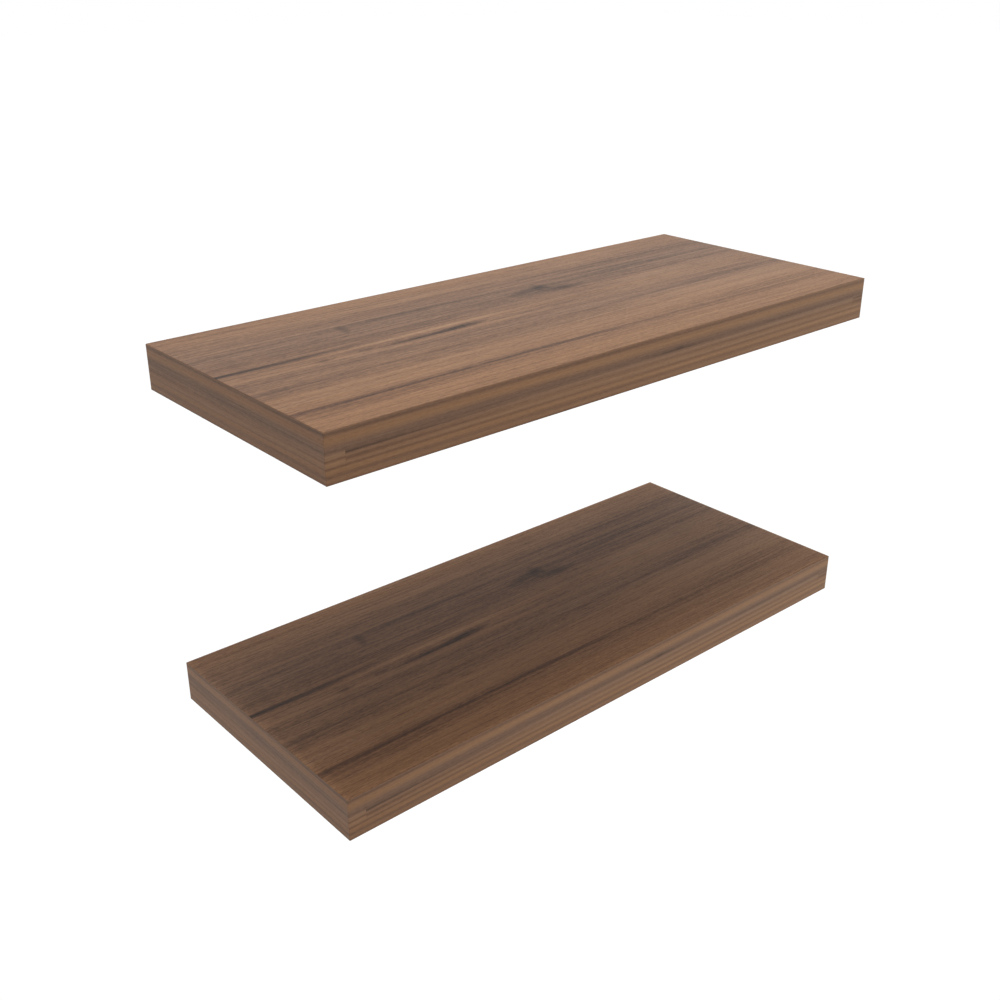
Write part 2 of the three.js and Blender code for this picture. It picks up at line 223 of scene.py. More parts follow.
def stretched_noise(tree, label, u, v, along, across, seed, detail, roughness=0.55):
    """Noise whose marks are that many millimetres along the grain and across it."""
    a = add(tree, "ShaderNodeMath", label + " along", {"operation": "DIVIDE"}, {0: u, 1: along})[0]
    b = add(tree, "ShaderNodeMath", label + " across", {"operation": "DIVIDE"}, {0: v, 1: across})[0]
    spot = add(tree, "ShaderNodeCombineXYZ", label + " spot", {}, {0: a, 1: b, 2: seed})[0]
    return add(tree, "ShaderNodeTexNoise", label, {"noise_dimensions": "3D"},
               {"Vector": spot, "Scale": 1.0, "Detail": detail, "Roughness": roughness})[0]


def weigh(tree, label, value, weight, total):
    """The total plus weight times how far the noise lies from its middle."""
    share = add(tree, "ShaderNodeMath", label + " off middle", {"operation": "SUBTRACT"},
                {0: value, 1: 0.5})[0]
    return add(tree, "ShaderNodeMath", label + " added", {"operation": "MULTIPLY_ADD"},
               {0: share, 1: weight, 2: total})[0]


# How long and how wide the marks of a print's other layers are, and each layer's step from its seed.
wander_size = (420.0, 60.0)
pore_size, pore_step = (6.0, 0.9), 7.7
stain_size, stain_step = (210.0, 5.0), 12.3
end_line_size, end_line_step = (70.0, 1.3), 15.1
pore_levels = (0.58, 0.72)  # of the noise, from closed to open


def walnut_grain(tree, u, v, printed):
    """How light the printed grain is at u along it and v across it, where its pores are, and v as the
    grain wanders. Each layer of the grain is noise drawn out along it."""
    wander = stretched_noise(tree, "slow wander", u, v, *wander_size, printed["seed"], 1.0)
    v = weigh(tree, "wander", wander, printed["wander"], v)
    tone = add(tree, "ShaderNodeMath", "lighter along", {"operation": "MULTIPLY_ADD"},
               {0: u, 1: printed["drift"] / half_length, 2: printed["level"]})[0]
    for label, along, across, step, detail, weight in printed["grain"]:
        layer = stretched_noise(tree, label, u, v, along, across, printed["seed"] + step, detail, 0.62)
        tone = weigh(tree, label, layer, weight, tone)
    pore = stretched_noise(tree, "pores", u, v, *pore_size, printed["seed"] + pore_step, 1.0)
    pores = add(tree, "ShaderNodeMapRange", "open pores", {},
                {"Value": pore, "From Min": pore_levels[0], "From Max": pore_levels[1],
                 "To Min": 0.0, "To Max": 1.0})[0]
    tone = add(tree, "ShaderNodeMath", "pores darken", {"operation": "MULTIPLY_ADD"},
               {0: pores, 1: printed["pores"], 2: tone})[0]
    return tone, pores, v


def laid_on(tree, tone, u, v, marks):
    """The tone of the grain with each mark laid on it as a soft lens."""
    spot = add(tree, "ShaderNodeCombineXYZ", "along and across", {}, {0: u, 1: v, 2: 0.0})[0]
    for label, at, off, half_run, half_width, turn, depth_of_tone in marks:
        lens = add(tree, "ShaderNodeMapping", label, {"vector_type": "TEXTURE"},
                   {"Vector": spot, "Location": (at - half_length, off, 0),
                    "Rotation": (0, 0, np.radians(turn)), "Scale": (half_run, half_width, 1)})[0]
        soft = add(tree, "ShaderNodeTexGradient", label + " fall-off",
                   {"gradient_type": "SPHERICAL"}, {"Vector": lens})[1]
        tone = add(tree, "ShaderNodeMath", label + " laid on", {"operation": "MULTIPLY_ADD"},
                   {0: soft, 1: depth_of_tone, 2: tone})[0]
    return tone


walnut_warm = [(0.0, linear("#352b26")), (0.28, linear("#654838")), (0.5, linear("#8e684b")),
               (0.72, linear("#a87e5b")), (1.0, linear("#c69b72"))]
walnut_cool = [(0.0, linear("#33302e")), (0.28, linear("#604e43")), (0.5, linear("#866a58")),
               (0.72, linear("#9d8069")), (1.0, linear("#b89b83"))]
warmth_drift = -0.10  # from the middle to the right end, the other way to the left end
# Painted shade: the foil is darkened where it folds over an arris.
fold_painted_shade = -0.03
# Painted shade on the ends: their foil is darker and greyer than the front's.
end_painted_shade = -0.08
end_shade_warmth_share = 0.86
foil_roughness = (0.56, 0.46)  # where the print is dark, and where it is light
board_roughness = 0.85


def greys(*stops):
    """Colour stops of plain grey, each from its place and its level."""
    return [(place, (level, level, level, 1)) for place, level in stops]


def pressed_fibres(tree, point):
    """The colour and the height of bare hard fibreboard: felted brown fibres half a millimetre across."""
    felt = add(tree, "ShaderNodeTexNoise", "pressed fibres", {},
               {"Vector": point, "Scale": 2.2, "Detail": 3.0, "Roughness": 0.7})[0]
    colour = add(tree, "ShaderNodeValToRGB", "bare fibreboard",
                 {"stops": [(0.3, linear("#5d4330")), (0.55, linear("#7c5c41")), (0.8, linear("#957150"))]},
                 {0: felt})[0]
    return colour, felt


def faced_board(name, bare_face, along, across, start, offset, printed):
    """Walnut foil on the outside of a piece of board, and the bare board on its other faces. The
    print's u is the place along plus the start, and its v the place across plus the offset."""
    made, tree = new_material(name)
    x, y, z = board_place(tree)
    point = add(tree, "ShaderNodeCombineXYZ", "point in its board", {}, {0: x, 1: y, 2: z})[0]
    u = add(tree, "ShaderNodeVectorMath", "along the grain", {"operation": "DOT_PRODUCT"},
            {0: point, 1: along})["Value"]
    u = add(tree, "ShaderNodeMath", "round the corner", {"operation": "ADD"}, {0: u, 1: start})[0]
    v = add(tree, "ShaderNodeVectorMath", "across the grain", {"operation": "DOT_PRODUCT"},
            {0: point, 1: across})["Value"]
    v = add(tree, "ShaderNodeMath", "from the edge", {"operation": "ADD"}, {0: v, 1: offset})[0]
    foil, fold, end_face = outer_foil(tree, x, y, z)
    grain, pores, v = walnut_grain(tree, u, v, printed)
    tone = laid_on(tree, grain, u, v, printed["marks"])
    if "end_marks" in printed:
        lines = stretched_noise(tree, "end lines", u, v, *end_line_size, printed["seed"] + end_line_step,
                                2.0)
        end_tone = laid_on(tree, grain, u, v, printed["end_marks"])
        end_tone = weigh(tree, "end lines", lines, printed["end_lines"], end_tone)
        tone = add(tree, "ShaderNodeMix", "face or end", {"data_type": "FLOAT"},
                   {0: end_face, 2: tone, 3: end_tone})[0]
    # Painted shade along the folded arris.
    tone = add(tree, "ShaderNodeMath", "painted shade at the fold", {"operation": "MULTIPLY_ADD"},
               {0: fold, 1: fold_painted_shade, 2: tone})[0]
    # Painted shade: the ends darker than the front.
    tone = add(tree, "ShaderNodeMath", "painted shade on the ends", {"operation": "MULTIPLY_ADD"},
               {0: end_face, 1: end_painted_shade, 2: tone})[0]
    warm = add(tree, "ShaderNodeValToRGB", "warm walnut", {"stops": walnut_warm}, {0: tone})[0]
    cool = add(tree, "ShaderNodeValToRGB", "grey walnut", {"stops": walnut_cool}, {0: tone})[0]
    share = add(tree, "ShaderNodeMapRange", "place across", {},
                {"Value": v, "From Min": 0.0, "From Max": depth, "To Min": 0.0, "To Max": 1.0})[0]
    share = add(tree, "ShaderNodeValToRGB", "warmth across the board", {"stops": printed["warmth"]},
                {0: share})[0]
    share = add(tree, "ShaderNodeMath", "cooler along", {"operation": "MULTIPLY_ADD"},
                {0: u, 1: warmth_drift / half_length, 2: share})[0]
    # Painted shade: the ends greyer than the front.
    end_share = add(tree, "ShaderNodeMath", "painted shade greyer on the ends", {"operation": "MULTIPLY_ADD"},
                    {0: end_face, 1: end_shade_warmth_share - 1.0, 2: 1.0})[0]
    share = add(tree, "ShaderNodeMath", "warmth of this face", {"operation": "MULTIPLY"},
                {0: share, 1: end_share})[0]
    hue = stretched_noise(tree, "stain drift", u, v, *stain_size, printed["seed"] + stain_step, 3.0)
    share = weigh(tree, "stain", hue, printed["stain"], share)
    share = add(tree, "ShaderNodeClamp", "warm share", {}, {"Value": share})[0]
    wood = add(tree, "ShaderNodeMix", "walnut", {"data_type": "RGBA"}, {0: share, 6: cool, 7: warm})[2]

    bare, relief = bare_face(tree, point)
    colour = add(tree, "ShaderNodeMix", "foil or board", {"data_type": "RGBA"},
                 {0: foil, 6: bare, 7: wood})[2]
    sheen = add(tree, "ShaderNodeMapRange", "foil lacquer", {},
                {"Value": tone, "From Min": 0.0, "From Max": 1.0,
                 "To Min": foil_roughness[0], "To Max": foil_roughness[1]})[0]
    rough = add(tree, "ShaderNodeMix", "lacquer or board", {"data_type": "FLOAT"},
                {0: foil, 2: board_roughness, 3: sheen})[0]
    pressed = add(tree, "ShaderNodeMath", "pores pressed in", {"operation": "MULTIPLY_ADD"},
                  {0: pores, 1: -0.5, 2: tone})[0]
    height = add(tree, "ShaderNodeMix", "foil or fibres", {"data_type": "FLOAT"},
                 {0: foil, 2: relief, 3: pressed})[0]
    normal = add(tree, "ShaderNodeBump", "surface", {},
                 {"Strength": 0.35, "Distance": 0.0001, "Height": height})[0]
    shader = add(tree, "ShaderNodeBsdfPrincipled", "lacquered foil", {},
                 {"Base Color": colour, "Roughness": rough, "Normal": normal, "IOR": 1.45,
                  "Specular IOR Level": 0.165})[0]
    add(tree, "ShaderNodeOutputMaterial", "out", {}, {"Surface": shader})
    return made


# Each mark: what it is, mm from the left end, mm from the wall, half its length, half its width,
# its turn in degrees, and how much it lightens or darkens.
top_marks = [
    ("pale band by the wall", 300, 8, 1200, 20, 0, 0.10),
    ("pale line behind the knots", 200, 35, 700, 11, 0, 0.06),
    ("grey band at the knots", 240, 80, 700, 24, 0, -0.08),
    ("dark along the back right", 520, 50, 270, 18, 0, -0.08),
    ("tan band in front of the heart", 330, 189, 1300, 22, 0, 0.15),
    ("tan band at the front right", 560, 238, 420, 20, 0, 0.05),
    ("dark streak from the left end", 0, 109.5, 175, 4.2, 0.2, -0.46),
    ("pale streak behind the lens", 200, 115.8, 200, 4.0, -0.5, 0.25),
    ("grey behind that streak", 200, 102, 140, 10, 0, -0.13),
    ("pale before the knots", 165, 90, 110, 6, 0, 0.12),
    ("pale streak before the lens", 130, 131, 190, 4.0, 0, 0.18),
    ("its right end", 262, 130.5, 52, 2.8, 0, 0.15),
    ("tail of the lens", 168, 126.7, 48, 4.2, -1.5, -0.31),
    ("dark lens", 215, 124.3, 36, 5.2, -4, -0.43),
    ("speck before the streak", 82, 127, 11, 4, 0, -0.22),
    ("second speck", 122, 126, 9, 3.5, 0, -0.16),
    ("long dark line", 150, 210.5, 520, 4.1, 0, -0.30),
    ("dark line behind the tan band", 150, 168, 280, 10.0, 0, -0.03),
    ("pale behind that line", 110, 158, 200, 7, 0, 0.09),
    ("dark band at the right", 540, 149, 180, 10, -1.2, -0.11),
    ("pale patch at the right", 480, 121, 150, 20, -2, 0.09),
    ("line through the knot", 490, 72, 190, 6, 0, -0.14),
    ("knot", 347, 77, 12, 13, 25, -0.29),
    ("left of the knot", 324, 80, 22, 7, -8, -0.19),
    ("right of the knot", 364, 90, 28, 10, 8, -0.17),
    ("grey past the knot", 440, 82, 70, 9, 0, -0.12),
    ("small knot", 138, 69, 7, 13, 12, -0.20),
    ("line at the small knot", 200, 61, 120, 4, 0, -0.10),
    ("pale heart of the knot", 348, 84, 5, 5, 0, 0.18),
    ("grey round the knot", 350, 83, 50, 17, 0, -0.10),
    ("pale behind the right front", 510, 166, 210, 12, 0, 0.15),
    ("grey before the right front", 520, 201, 150, 7, 0, -0.11),
    ("tan before the left front", 90, 198, 150, 8, 0, 0.08),
    ("tan at the left end", 20, 126, 110, 10, 0, 0.10),
    ("pale line at the front", 260, 236, 900, 11, 0, 0.09),
    ("pale island by the right end", 455, 104, 72, 8, -1, 0.09),
    ("hook by the right end", 521, 110, 8, 12, -15, -0.10),
]
# How warm the brown is at each place across, as a share of the whole depth.
across_warmth = greys((0.0, 0.8), (0.12, 0.53), (0.28, 0.26), (0.5, 0.56), (0.6, 0.4), (0.72, 0.65),
                      (0.88, 0.85), (1.0, 1.0))
# Each layer of the grain: what it is, how long and how wide its marks are in mm, its step from the
# seed, how many finer layers it carries, and its weight.
face_grain = [("growth bands", 1300.0, 17.0, 3.1, 2.0, 0.38), ("threads", 150.0, 2.1, 5.3, 3.0, 0.56),
              ("fibres", 24.0, 1.0, 9.9, 2.0, 0.46), ("flecks", 4.2, 1.1, 1.7, 1.0, 0.34)]
# Each print: its marks, the seed of its noise, how many mm the grain wanders, how light it is, how much
# lighter it gets towards the right end, its grain and pores, and its warmth and how far that strays.
top_print = {"marks": top_marks, "seed": 0.0, "wander": 7.0, "level": 0.490, "drift": 0.03,
             "grain": face_grain, "pores": -0.10, "warmth": across_warmth, "stain": 0.6}
bottom_print = {**top_print, "marks": [], "seed": 21.0, "drift": 0.0}
top_foil = faced_board("walnut foil on fibreboard, top", pressed_fibres, (1, 0, 0), (0, -1, 0), 0.0, 0.0,
                       top_print)
bottom_foil = faced_board("walnut foil on fibreboard, bottom", pressed_fibres, (1, 0, 0), (0, -1, 0), 0.0,
                          0.0, bottom_print)


def finish(node_name, material):
    """Gives a CAD node its material."""
    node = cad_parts[node_name]
    node.data.materials.clear()
    node.data.materials.append(material)


for shelf in shelf_heights:
    finish(shelf + "_top_skin", top_foil)
    finish(shelf + "_bottom_skin", bottom_foil)


# The front rail and the two end rails. Strips of 16 mm particle board with the same foil on their
# outer faces, glued between the folded skins. The end rails run through to the front, so their ends
# show there as short blocks beside the front rail's butt seams.


def particle_chips(tree, point):
    """The colour and the height of raw particle board: flat chips about three millimetres long, and dust."""
    flat = add(tree, "ShaderNodeVectorMath", "chip size", {"operation": "DIVIDE"},
               {0: point, 1: (3.2, 3.2, 1.2)})[0]
    chips = add(tree, "ShaderNodeTexVoronoi", "chips", {}, {"Vector": flat, "Scale": 1.0})
    dust = add(tree, "ShaderNodeTexNoise", "dust", {}, {"Vector": point, "Scale": 1.6, "Detail": 3.0})[0]
    mixed = add(tree, "ShaderNodeMix", "chips and dust", {"data_type": "RGBA"},
                {0: 0.35, 6: chips["Color"], 7: dust})[2]
    colour = add(tree, "ShaderNodeValToRGB", "raw particle board",
                 {"stops": [(0.15, linear("#7d6548")), (0.38, linear("#a88c67")), (0.58, linear("#bfa480")),
                            (0.85, linear("#d2bb99"))]}, {0: mixed})[0]
    return colour, chips["Distance"]


# Each mark as on the top skin, with mm from the top arris in place of mm from the wall.
edge_marks = [
    ("dark under the arris", 300, 2.3, 2000, 2.3, 0, -0.15),
    ("pale upper stripe", 300, 7.3, 2000, 4.0, 0, 0.13),
    ("dark heart stripe", 460, 13.9, 900, 4.5, 0, -0.175),
    ("pale line in the heart", 400, 18.0, 380, 1.9, 0, 0.09),
    ("dark line under it", 400, 20.8, 420, 1.9, 0, -0.14),
    ("pale middle line", 300, 24.1, 1600, 1.9, 0, 0.10),
    ("thin dark line", 300, 26.4, 1600, 1.2, 0, -0.11),
    ("pale lower stripe", 300, 28.8, 1600, 2.2, 0, 0.12),
    ("dark lower stripe", 300, 32.2, 1600, 2.0, 0, -0.11),
    ("pale foot", 300, 35.0, 1600, 1.6, 0, 0.05),
    # Painted shade along the lower arris, where the edge turns under; it lies on the ends too.
    ("dark over the lower arris", 300, 37.7, 2000, 1.4, 0, -0.20),
]
front_marks = edge_marks + [
    ("dark line from the seam", 16, 17.6, 180, 1.1, 0, -0.24),
    ("dark box from the seam", 16, 16.6, 110, 1.9, 0, -0.07),
    ("faint box from the seam", 16, 22.0, 220, 2.4, 0, -0.15),
    ("dark lens", 342, 14.9, 44, 1.4, 0, -0.17),
    ("knot in the lens", 343, 13.8, 9, 1.7, 0, -0.12),
    ("dark heart to the right", 560, 14.6, 130, 2.6, 0, -0.06),
]
# The short blocks at the front, where the end rails come through.
block_marks = edge_marks + [
    ("pale before the seam", 4, 17.8, 44, 2.6, 0, 0.16),
    ("dark line before the seam", 4, 20.8, 60, 1.3, 0, -0.14),
    ("pale under that line", 4, 23.0, 50, 1.8, 0, 0.08),
    ("dark line past the right seam", 596, 16.8, 30, 1.4, 0, -0.26),
    ("grey past the right seam", 596, 19.8, 30, 3.6, 0, -0.14),
]
# The ends take the stripes more faintly. The mm from the left end count on round the corner there.
end_contrast = 0.68
end_marks = [(*mark[:-1], end_contrast * mark[-1]) for mark in edge_marks[1:]] + [
    ("thin dark line under the arris", 300, 2.1, 2000, 1.9, 0, -0.11),
    ("grey towards the wall", 260, 20.5, 190, 5.0, 0, -0.09),
    ("pale before the corner", 4, 17.8, 60, 2.4, 0, 0.08),
    ("faint line before the corner", 4, 20.6, 80, 1.4, 0, -0.07),
    ("pale under that line", 4, 23.0, 80, 1.8, 0, 0.05),
    ("evener below that", 125, 26.6, 400, 1.8, 0, 0.07),
    ("lighter towards the corner", 0, 24.0, 210, 32.0, 0, 0.05),
]
edge_warmth = greys((0.0, 0.45), (0.008, 0.4), (0.027, 0.95), (0.052, 0.15), (0.072, 0.4), (0.094, 0.7),
                    (0.104, 0.55), (0.115, 1.0), (0.129, 0.55), (0.142, 0.75))
edge_grain = [("growth bands", 900.0, 6.0, 3.1, 1.0, 0.12), ("threads", 300.0, 2.3, 5.3, 2.0, 0.15),
              ("fibres", 110.0, 0.95, 9.9, 2.0, 0.23), ("flecks", 4.2, 0.9, 1.7, 1.0, 0.19)]
front_print = {"marks": front_marks, "seed": 40.0, "wander": 1.2, "level": 0.61, "drift": 0.08,
               "grain": edge_grain, "pores": -0.04, "warmth": edge_warmth, "stain": 0.35}
end_print = {**front_print, "marks": block_marks, "end_marks": end_marks, "end_lines": 0.22}
front_foil = faced_board("walnut foil on particle board, front", particle_chips, (1, 1, 0), (0, 0, -1),
                         depth, half_thickness, front_print)
end_foil = faced_board("walnut foil on particle board, ends", particle_chips, (1, 1, 0), (0, 0, -1), depth,
                       half_thickness, end_print)
for shelf in shelf_heights:
    finish(shelf + "_front_rail", front_foil)
    finish(shelf + "_left_end_rail", end_foil)
    finish(shelf + "_right_end_rail", end_foil)


# The rails and cores inside. Strips of raw particle board, one along the back and two drilled ones that
# run over the rods, with honeycombs of brown kraft paper glued in the bays between them.


def raw_board(name):
    """Raw particle board on every face, matt, with its chips standing out a little."""
    made, tree = new_material(name)
    point = board_point(tree)
    colour, relief = particle_chips(tree, point)
    normal = add(tree, "ShaderNodeBump", "chips stand out", {},
                 {"Strength": 0.6, "Distance": 0.00025, "Height": relief})[0]
    shader = add(tree, "ShaderNodeBsdfPrincipled", "raw board", {},
                 {"Base Color": colour, "Roughness": 0.9, "Normal": normal, "Specular IOR Level": 0.2})[0]
    add(tree, "ShaderNodeOutputMaterial", "out", {}, {"Surface": shader})
    return made


def kraft_paper(name):
    """Unbleached kraft paper: brown, matt, with fine long fibres that run round the cells."""
    made, tree = new_material(name)
    x, y, z = board_place(tree)
    along = add(tree, "ShaderNodeMath", "along the ribbon", {"operation": "ADD"}, {0: x, 1: y})[0]
    fibres = stretched_noise(tree, "paper fibres", along, z, 6.0, 0.7, 3.0, 3.0, 0.7)
    colour = add(tree, "ShaderNodeValToRGB", "brown kraft",
                 {"stops": [(0.3, linear("#8b6a43")), (0.5, linear("#a98658")), (0.75, linear("#c2a070"))]},
                 {0: fibres})[0]
    normal = add(tree, "ShaderNodeBump", "fibres", {},
                 {"Strength": 0.4, "Distance": 0.0001, "Height": fibres})[0]
    shader = add(tree, "ShaderNodeBsdfPrincipled", "kraft paper", {},
                 {"Base Color": colour, "Roughness": 0.95, "Normal": normal, "Specular IOR Level": 0.2})[0]
    add(tree, "ShaderNodeOutputMaterial", "out", {}, {"Surface": shader})
    return made


bare_rail = raw_board("raw particle board")
core_paper = kraft_paper("brown kraft paper")
for shelf in shelf_heights:
    for rail in ("back_rail", "left_rod_rail", "right_rod_rail"):
        finish(shelf + "_" + rail, bare_rail)
    for core in ("left_core", "middle_core", "right_core"):
        finish(shelf + "_" + core, core_paper)


# The bracket bars. Punched flat steel, 28 by 3 mm, degreased and powder coated satin black together
# with its rods. The coat rounds the punched edges a little and has a fine orange peel.

coat_rounding = 0.3
orange_peel = 0.9  # from one dimple to the next


def powder_coat(name):
    """Satin black powder coat: nearly black, evenly rough, with the orange peel of the melted powder."""
    made, tree = new_material(name)
    point = board_point(tree)
    peel = add(tree, "ShaderNodeTexNoise", "orange peel", {},
               {"Vector": point, "Scale": 1 / orange_peel, "Detail": 2.0, "Roughness": 0.5})[0]
    cloud = add(tree, "ShaderNodeTexNoise", "handling marks", {},
                {"Vector": point, "Scale": 0.05, "Detail": 4.0, "Roughness": 0.65})[0]
    colour = add(tree, "ShaderNodeValToRGB", "satin black",
                 {"stops": [(0.3, linear("#18191b")), (0.7, linear("#26272a"))]}, {0: cloud})[0]
    rough = add(tree, "ShaderNodeMapRange", "rubbed or dusty", {},
                {"Value": cloud, "From Min": 0.35, "From Max": 0.65, "To Min": 0.36, "To Max": 0.52})[0]
    normal = add(tree, "ShaderNodeBump", "peel", {},
                 {"Strength": 0.5, "Distance": 0.00006, "Height": peel})[0]
    shader = add(tree, "ShaderNodeBsdfPrincipled", "powder coat", {},
                 {"Base Color": colour, "Roughness": rough, "Normal": normal, "IOR": 1.5})[0]
    add(tree, "ShaderNodeOutputMaterial", "out", {}, {"Surface": shader})
    return made


def stand_for(piece, body, slot, *nodes):
    """Lets a piece ride on its body in place of CAD nodes. The slot is not used."""
    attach(piece, body)
    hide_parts(*nodes)


black_coat = powder_coat("powder coated steel")
for shelf in shelf_heights:
    node_name = shelf + "_bracket_bar"
    bar_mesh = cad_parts[node_name].data.copy()
    shape = bmesh.new()
    shape.from_mesh(bar_mesh)
    bmesh.ops.remove_doubles(shape, verts=shape.verts, dist=1e-6)
    bmesh.ops.dissolve_limit(shape, angle_limit=np.radians(1), verts=shape.verts, edges=shape.edges)
    shape.to_mesh(bar_mesh)
    shape.free()
    bar_mesh.materials.clear()
    bar_mesh.materials.append(black_coat)
    bar = bpy.data.objects.new(shelf + "_coated_bar", bar_mesh)
    bpy.context.scene.collection.objects.link(bar)
    rounding = bar.modifiers.new("coat rounding", "BEVEL")
    rounding.width = coat_rounding / 1000
    rounding.segments = 2
    rounding.limit_method = "ANGLE"
    rounding.angle_limit = np.radians(30)
    stand_for(bar, "wall_brackets", "black_steel", node_name)


# The rods. Turned 12 mm steel with a stepped tail that goes through the bar, a rippled weld bead round
# its foot, and a chamfered tip that helps the board to find it.

rod_places = {"left": -170.0, "right": 170.0}
rod_radius = 6.0
rod_tail_radius = 4.0
rod_tail_start = 0.2  # from the wall's face
rod_seat = 3.2
rod_tip = 153.0
rod_chamfer = 1.5
tail_chamfer = 0.3
bead_leg = 2.5
bead_steps = 9
bead_ripples = 26
ripple_depth = 0.24
ripple_lean = 2.2  # how far a ripple's middle runs ahead of its ends, in radians of its own cycle
rod_sides = 156


def turned_points(start, axis, side, radius, distance, turn):
    """Points at a radius round an axis and a distance along it: start + distance along the axis + radius
    times the cosine of the turn along the side + radius times its sine along the third direction."""
    axis = np.array(axis, float)
    side = np.array(side, float)
    third = np.cross(axis, side)
    return (np.array(start) + distance[..., None] * axis + (radius * np.cos(turn))[..., None] * side
            + (radius * np.sin(turn))[..., None] * third)


def solid_piece(name, points, faces, material):
    """A closed piece from points in millimetres. Points that fall together are merged, faces look out,
    and edges sharper than 40 degrees stay sharp."""
    mesh = bpy.data.meshes.new(name)
    mesh.from_pydata((points / 1000).tolist(), [], faces.tolist())
    shape = bmesh.new()
    shape.from_mesh(mesh)
    bmesh.ops.remove_doubles(shape, verts=shape.verts, dist=1e-6)
    bmesh.ops.recalc_face_normals(shape, faces=shape.faces)
    shape.to_mesh(mesh)
    shape.free()
    mesh.shade_smooth()
    mesh.set_sharp_from_angle(angle=np.radians(40))
    mesh.materials.append(material)
    piece = bpy.data.objects.new(name, mesh)
    bpy.context.scene.collection.objects.link(piece)
    return piece


def grid_piece(name, grid, material):
    """A closed piece from a grid whose rows follow one another along it. Each row goes once round and
    ends where it began, and the first and the last row are each a single point."""
    rows, columns = grid.shape[:2]
    number = np.arange(rows * columns).reshape(rows, columns)
    faces = np.stack([number[:-1, :-1], number[:-1, 1:], number[1:, 1:], number[1:, :-1]], -1)
    return solid_piece(name, grid.reshape(-1, 3), faces.reshape(-1, 4), material)


def rod_grid(x, z):
    """Rings from the tail to the tip. The bead's radius falls from the rod's plus its leg to the rod's,
    less ripples that lean over like a weaver's stitches: a cosine of the turn plus the place on it."""
    turn = np.linspace(0, 2 * np.pi, rod_sides + 1)[None]
    share = np.linspace(0, 1, bead_steps)
    tail = [(0, rod_tail_start), (rod_tail_radius - tail_chamfer, rod_tail_start),
            (rod_tail_radius, rod_tail_start + tail_chamfer), (rod_tail_radius, rod_seat)]
    bead = [(rod_radius + bead_leg * (1 - s), rod_seat + bead_leg * s) for s in share]
    stem = [(rod_radius, rod_tip - rod_chamfer), (rod_radius - rod_chamfer, rod_tip), (0, rod_tip)]
    rings = np.array(tail + bead + stem)
    on_bead = np.concatenate([np.zeros(len(tail)), share, np.zeros(len(stem))])[:, None]
    lean = ripple_lean * np.sin(np.pi * on_bead)
    ripple = ripple_depth * np.sin(np.pi * on_bead) * (0.5 - 0.5 * np.cos(bead_ripples * turn + lean))
    radius = rings[:, :1] - ripple
    distance = np.repeat(rings[:, 1:], turn.size, 1)
    return turned_points((x, 0, z), (0, -1, 0), (1, 0, 0), radius, distance, turn)


for shelf, height in shelf_heights.items():
    for hand, x in rod_places.items():
        rod = grid_piece(f"{shelf}_{hand}_welded_rod", rod_grid(x, height), black_coat)
        stand_for(rod, "wall_brackets", "black_steel", f"{shelf}_{hand}_rod")


# The screws. Cold-headed, thread-rolled and zinc-plated steel with cross recesses: pan heads that pull
# the bar to the wall, and countersunk lock screws that come up through the underside to the rods.

wall_screw_places = (-230.0, -60.0, 60.0, 230.0)
wall_screw = {"head_radius": 4.0, "crown": 1.25, "rim": 2.55, "neck": 2.8, "thread_from": 9.0,
              "length": 32.8, "tip": 5.0, "end_radius": 0.0}
lock_screw = {"head_radius": 3.8, "crown": 0.0, "rim": 0.4, "neck": 2.2, "thread_from": 3.6,
              "length": 12.4, "tip": 0.5, "end_radius": 1.5}
wall_screw_start = -6.0
lock_screw_inset = 100.0
lock_screw_start = -18.7
crest_radius = 2.0
root_radius = 1.4
shank_radius = 1.9
thread_pitch = 1.8
pitch_rows = 8
crest_share = 0.3  # half the width of a thread's ridge at its foot, over the pitch
thread_run_out = 0.4  # from the shank down to the thread's root
crown_rows = 5
crown_start_share = 1.25  # where the crown's rows begin, over the recess's half length
recess_arm = 2.1  # half the length of the cross recess
recess_share = 0.26  # an arm's half width over its half length
# Where the recess's floor and walls turn: the place as a share of the arm, and the depth.
recess_steps = ((0.0, 1.7), (0.55, 1.7), (0.86, 0.5), (1.0, 0.0))
octant_steps = (2, 3)  # columns along an arm's end, and along its side


def screw_turns():
    """Angles of a screw's columns, so that the corners of its cross recess each fall on one."""
    corner = np.arctan(recess_share)
    octant = np.concatenate([np.linspace(0, corner, octant_steps[0] + 1)[:-1],
                             np.linspace(corner, np.pi / 4, octant_steps[1] + 1)])
    quarter = np.concatenate([octant, (np.pi / 2 - octant[::-1])[1:]])[:-1]
    return np.concatenate([quarter + np.pi / 2 * k for k in range(4)] + [[2 * np.pi]])[None]


